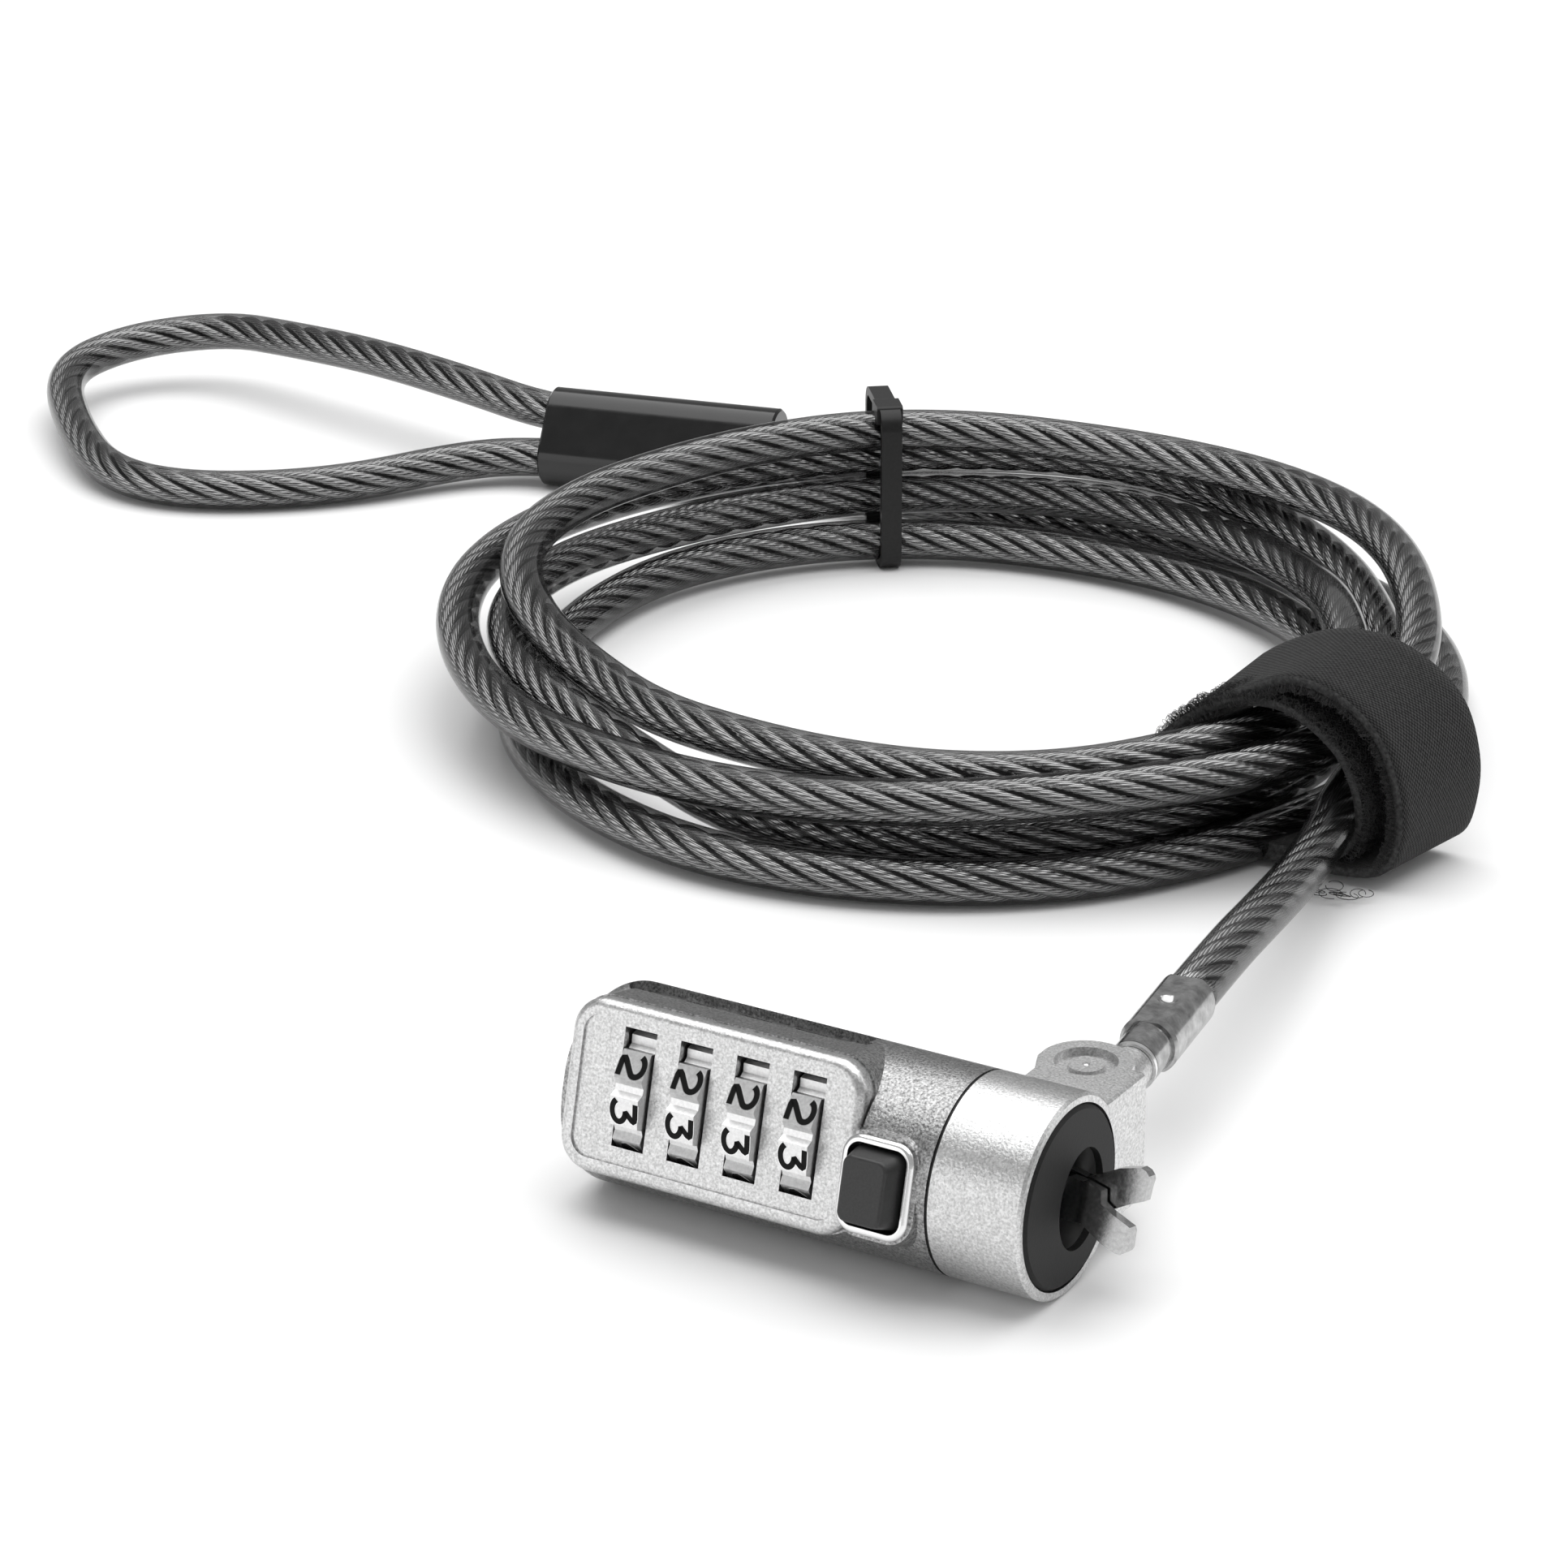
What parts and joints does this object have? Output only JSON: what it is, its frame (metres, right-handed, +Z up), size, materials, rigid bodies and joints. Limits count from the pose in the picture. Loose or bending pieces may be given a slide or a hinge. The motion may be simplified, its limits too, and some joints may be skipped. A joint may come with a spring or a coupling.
{
  "type": "laptop cable lock",
  "caption": "Combination lock head for a laptop security slot, with a swivelling collar, a push button and a coiled steel cable that ends in an eye loop.",
  "frame": {"origin": "centre of the lock head's underside, with the free cable left out, on the surface it lies on", "axes": "+X along the lock's axis towards the hooks, +Z up, -Y towards the user and the number panel"},
  "size_m": [0.2458, 0.1931, 0.0224],
  "materials": {
    "satin_casting": "bead blasted nickel over die-cast zinc",
    "polished_rim": "polished nickel",
    "wheel_nickel": "machined nickel with black filled digits",
    "inner_steel": "plain steel",
    "hook_steel": "hard steel, cast skin with polished edges",
    "ferrule_steel": "crimped, lightly marked steel",
    "button_black": "matte black",
    "face_rubber": "fine matte black rubber",
    "seam_black": "black",
    "cable_jacket": "smoke clear jacket over bright steel strands",
    "sleeve_gloss": "glossy black",
    "strap_fabric": "black weave outside, fuzzy loop inside",
    "tie_nylon": "black nylon"
  },
  "bodies": {
    "cable": {"ferrule": "ferrule_steel", "cable_lead": "cable_jacket", "cable_coil": "cable_jacket", "cable_tail": "cable_jacket", "cable_loop": "cable_jacket", "loop_sleeve": "sleeve_gloss", "hook_loop_strap": "strap_fabric", "cable_tie": "tie_nylon"},
    "swivel_link": {"swivel_eye": "satin_casting", "swivel_washer": "polished_rim"},
    "collar": {"collar_ring": "satin_casting", "front_flange": "polished_rim", "rivet_pin": "satin_casting"},
    "lock_body": {"body_casting": "satin_casting", "number_panel": "satin_casting", "wheel_spindle": "inner_steel", "wheel_spacers": "inner_steel", "detent_spring": "inner_steel", "button_bezel": "polished_rim", "button_spring": "inner_steel", "nose_tube": "inner_steel", "face_ring": "face_rubber", "seam_washer": "seam_black", "hook_pivot_pin": "inner_steel"},
    "reset": {"reset_screw": "inner_steel"},
    "button": {"push_button": "button_black"},
    "cam": {"cam_slide": "inner_steel"},
    "lower_hook": {"hook_lower": "hook_steel"},
    "upper_hook": {"hook_upper": "hook_steel"},
    "dial_1": {"number_wheel_1": "wheel_nickel", "clutch_sleeve_1": "inner_steel"},
    "dial_2": {"number_wheel_2": "wheel_nickel", "clutch_sleeve_2": "inner_steel"},
    "dial_3": {"number_wheel_3": "wheel_nickel", "clutch_sleeve_3": "inner_steel"},
    "dial_4": {"number_wheel_4": "wheel_nickel", "clutch_sleeve_4": "inner_steel"}
  },
  "joints": [
    {"name": "ferrule_swivel", "type": "hinge", "parent": "cable", "child": "swivel_link", "pos_m": [0.01526, 0.00469, 0.0093], "axis": [-0.1478, 0.989, 0], "continuous": true},
    {"name": "rivet_pivot", "type": "hinge", "parent": "swivel_link", "child": "collar", "pos_m": [0.01526, 0.00469, 0.0093], "axis": [0, 0, 1], "range_deg": [-61.5, 53.5]},
    {"name": "collar_swivel", "type": "hinge", "parent": "collar", "child": "lock_body", "pos_m": [0.01606, -0.00871, 0.0093], "axis": [1, 0, 0], "continuous": true},
    {"name": "dial_1_turn", "type": "hinge", "parent": "lock_body", "child": "dial_1", "pos_m": [-0.01862, -0.0116, 0.01109], "axis": [1, 0, 0], "continuous": true},
    {"name": "dial_2_turn", "type": "hinge", "parent": "lock_body", "child": "dial_2", "pos_m": [-0.01281, -0.0116, 0.01109], "axis": [1, 0, 0], "continuous": true},
    {"name": "dial_3_turn", "type": "hinge", "parent": "lock_body", "child": "dial_3", "pos_m": [-0.007, -0.0116, 0.01109], "axis": [1, 0, 0], "continuous": true},
    {"name": "dial_4_turn", "type": "hinge", "parent": "lock_body", "child": "dial_4", "pos_m": [-0.00119, -0.0116, 0.01109], "axis": [1, 0, 0], "continuous": true},
    {"name": "button_press", "type": "slide", "parent": "lock_body", "child": "button", "axis": [0, 0.9677, -0.2521], "range_m": [0, 0.002], "stiffness_N_per_m": 700, "springref_m": -0.001},
    {"name": "cam_push", "type": "slide", "parent": "lock_body", "child": "cam", "axis": [1, 0, 0], "range_m": [0, 0.00081]},
    {"name": "lower_hook_close", "type": "hinge", "parent": "lock_body", "child": "lower_hook", "pos_m": [0.01806, -0.00755, 0.009], "axis": [0, -0.9677, 0.2521], "range_deg": [0, 8.1]},
    {"name": "upper_hook_close", "type": "hinge", "parent": "lock_body", "child": "upper_hook", "pos_m": [0.01806, -0.006, 0.00859], "axis": [0, 0.9677, -0.2521], "range_deg": [0, 8.1]},
    {"name": "reset_turn", "type": "hinge", "parent": "lock_body", "child": "reset", "pos_m": [-0.02594, -0.00682, 0.00467], "axis": [1, 0, 0], "range_deg": [0, 90]}
  ],
  "couplings": [
    {"joint": "cam_push", "follows": "button_press", "ratio": 0.4},
    {"joint": "lower_hook_close", "follows": "button_press", "rad_per_m": 70},
    {"joint": "upper_hook_close", "follows": "button_press", "rad_per_m": 70}
  ]
}
